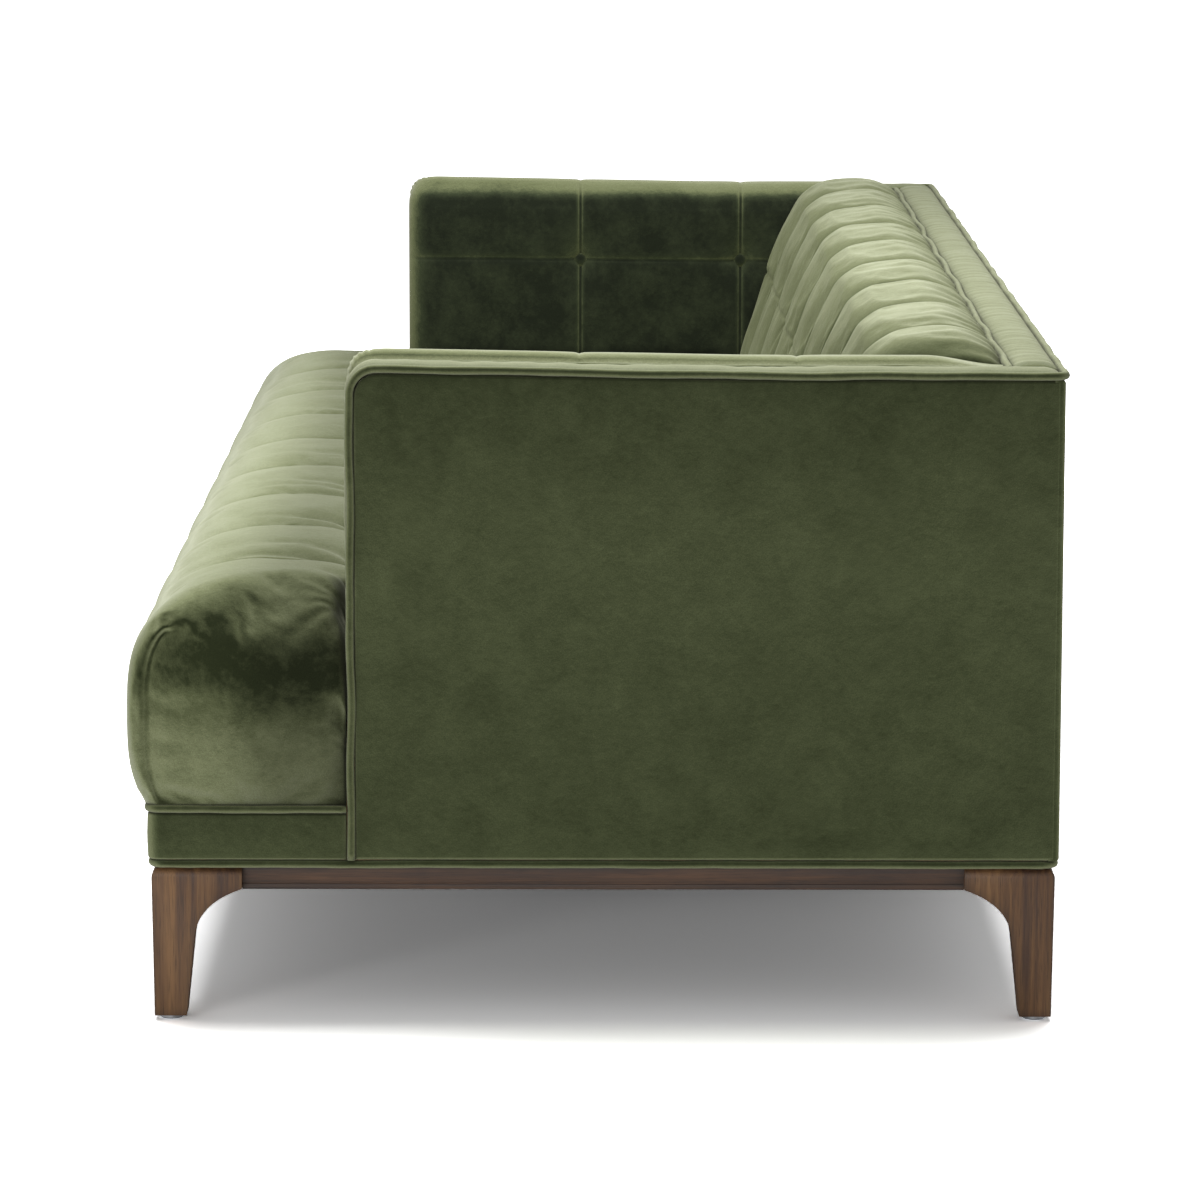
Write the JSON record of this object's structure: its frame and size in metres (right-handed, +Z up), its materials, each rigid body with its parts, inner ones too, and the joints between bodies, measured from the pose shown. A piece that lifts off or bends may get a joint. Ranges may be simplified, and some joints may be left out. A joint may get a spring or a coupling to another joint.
{
  "type": "tufted sofa",
  "caption": "Low velvet sofa with a channelled seat and back, buttoned square arms, piped edges and a wooden base on bracket legs.",
  "frame": {"origin": "on the floor below the middle of the sofa", "axes": "+Z up, +X along the sofa's length to the right of someone facing it, -Y the way the seat faces"},
  "size_m": [2.311, 0.99, 0.72],
  "materials": {
    "velvet": "olive green cotton velvet with a short lustrous pile",
    "walnut_stain": "weathered brown stain, open grain, matt lacquer",
    "frame_wood": "unfinished sawn hardwood",
    "foam": "upholstery foam",
    "steel": "bright steel",
    "burlap": "woven jute cloth",
    "dust_cloth": "black non-woven cloth"
  },
  "bodies": {
    "root": {"leg_front_left": "walnut_stain", "leg_front_right": "walnut_stain", "leg_rear_left": "walnut_stain", "leg_rear_right": "walnut_stain", "base_rail_front": "walnut_stain", "base_rail_rear": "walnut_stain", "base_rail_left": "walnut_stain", "base_rail_right": "walnut_stain", "base_cross_rail": "walnut_stain", "centre_leg": "walnut_stain", "glides": "steel", "base_dowels": "frame_wood", "base_screws": "steel", "seat_rail_front": "frame_wood", "seat_rail_rear": "frame_wood", "seat_rail_left": "frame_wood", "seat_rail_right": "frame_wood", "seat_cross_rails": "frame_wood", "corner_blocks": "frame_wood", "arm_post_front_left": "frame_wood", "arm_post_front_right": "frame_wood", "arm_post_rear_left": "frame_wood", "arm_post_rear_right": "frame_wood", "arm_top_rail_left": "frame_wood", "arm_top_rail_right": "frame_wood", "back_top_rail": "frame_wood", "back_uprights": "frame_wood", "arm_board_left": "frame_wood", "arm_board_right": "frame_wood", "seat_springs": "steel", "spring_clips": "steel", "seat_deck": "burlap", "back_webbing": "burlap", "dust_cover": "dust_cloth", "seat_foam": "foam", "back_foam": "foam", "seat_cushion": "velvet", "back_cushion": "velvet", "arm_pad_left": "velvet", "arm_pad_right": "velvet", "outside_arm_left": "velvet", "outside_arm_right": "velvet", "outside_back": "velvet", "arm_boxing_left": "velvet", "arm_boxing_right": "velvet", "back_boxing": "velvet", "seat_band_front": "velvet", "seat_band_left": "velvet", "seat_band_right": "velvet", "welt_outer": "velvet", "welt_inner": "velvet", "welt_seat": "velvet", "welt_base": "velvet", "arm_buttons_left": "velvet", "arm_buttons_right": "velvet"}
  },
  "joints": []
}
